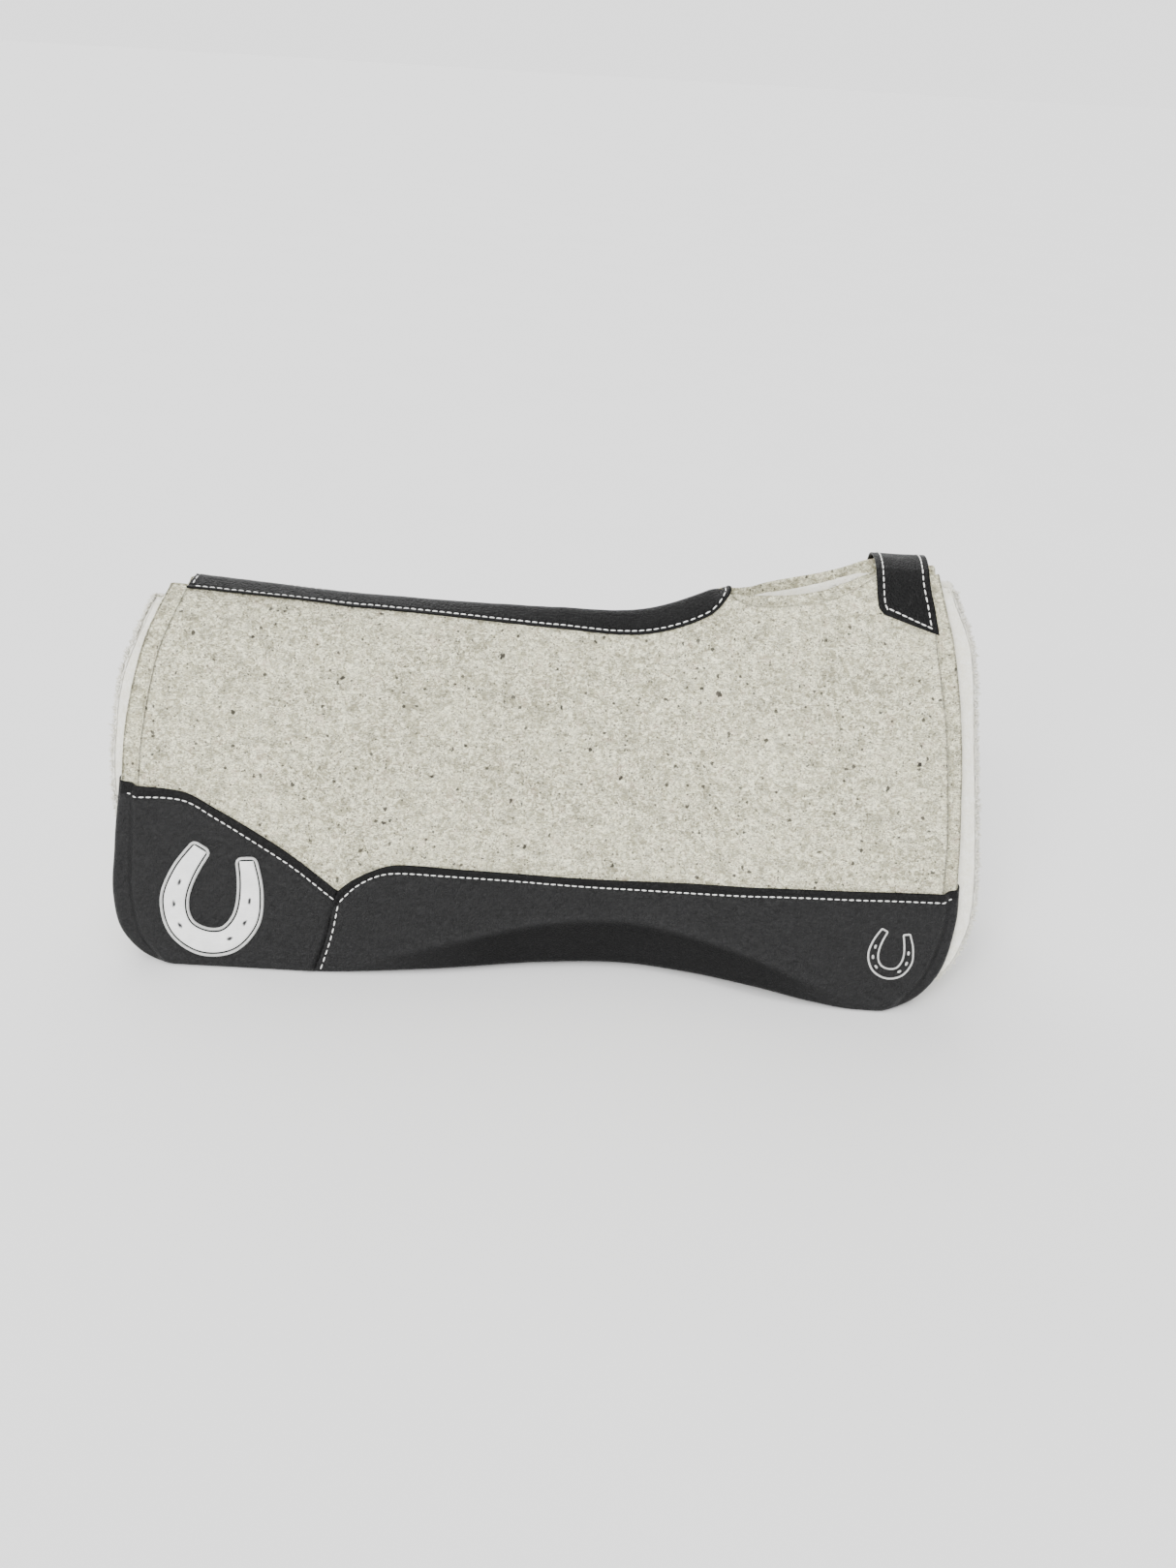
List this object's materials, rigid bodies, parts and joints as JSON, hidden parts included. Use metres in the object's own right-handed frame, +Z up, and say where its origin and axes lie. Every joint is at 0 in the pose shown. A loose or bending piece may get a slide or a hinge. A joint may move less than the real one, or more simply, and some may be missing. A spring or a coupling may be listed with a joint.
{
  "type": "western saddle pad",
  "caption": "Contoured western saddle pad of two felt layers with a fleece lining, black wear leathers, a spine leather and a wither strap; stands folded like a tent.",
  "frame": {"origin": "middle of the pad's length and width, on the plane that its lower edges stand on", "axes": "+X towards the withers (front), -Y towards the right side, +Z up"},
  "size_m": [0.8104, 0.3142, 0.3925],
  "materials": {
    "felt": "matte flecked wool felt",
    "fleece": "matte fleece",
    "wear_leather": "satin pebbled",
    "trim_leather": "satin pebbled",
    "emblem_white": "matte",
    "satin_thread": "satin",
    "stitch_thread": "satin"
  },
  "bodies": {
    "right_side": {"right_outer_felt": "felt", "right_inner_felt": "felt", "right_fleece_lining": "fleece", "right_rear_wear_leather": "wear_leather", "right_front_wear_leather": "wear_leather", "right_rear_emblem_patch": "emblem_white", "right_rear_emblem_edging": "satin_thread", "right_front_emblem_embroidery": "satin_thread", "right_rear_leather_stitches": "stitch_thread", "right_leather_seam_stitches": "stitch_thread", "right_front_leather_stitches": "stitch_thread", "right_spine_stitches": "stitch_thread", "right_strap_stitches": "stitch_thread", "spine_leather": "trim_leather", "wither_strap": "trim_leather", "strap_bridge_stitches": "stitch_thread", "spine_seam_thread": "stitch_thread", "left_spine_stitches": "stitch_thread", "left_strap_stitches": "stitch_thread"},
    "left_side": {"left_outer_felt": "felt", "left_inner_felt": "felt", "left_fleece_lining": "fleece", "left_rear_wear_leather": "wear_leather", "left_front_wear_leather": "wear_leather", "left_rear_emblem_patch": "emblem_white", "left_rear_emblem_edging": "satin_thread", "left_front_emblem_embroidery": "satin_thread", "left_rear_leather_stitches": "stitch_thread", "left_leather_seam_stitches": "stitch_thread", "left_front_leather_stitches": "stitch_thread"}
  },
  "joints": [
    {"name": "spread_fold", "type": "hinge", "parent": "right_side", "child": "left_side", "pos_m": [-0.38, 0, 0.334], "axis": [0.9986, 0, 0.0527], "range_deg": [-5, 30], "stiffness_Nm_per_rad": 14, "deforming": ["spine_leather", "wither_strap", "strap_bridge_stitches", "spine_seam_thread", "left_spine_stitches", "left_strap_stitches"]}
  ]
}
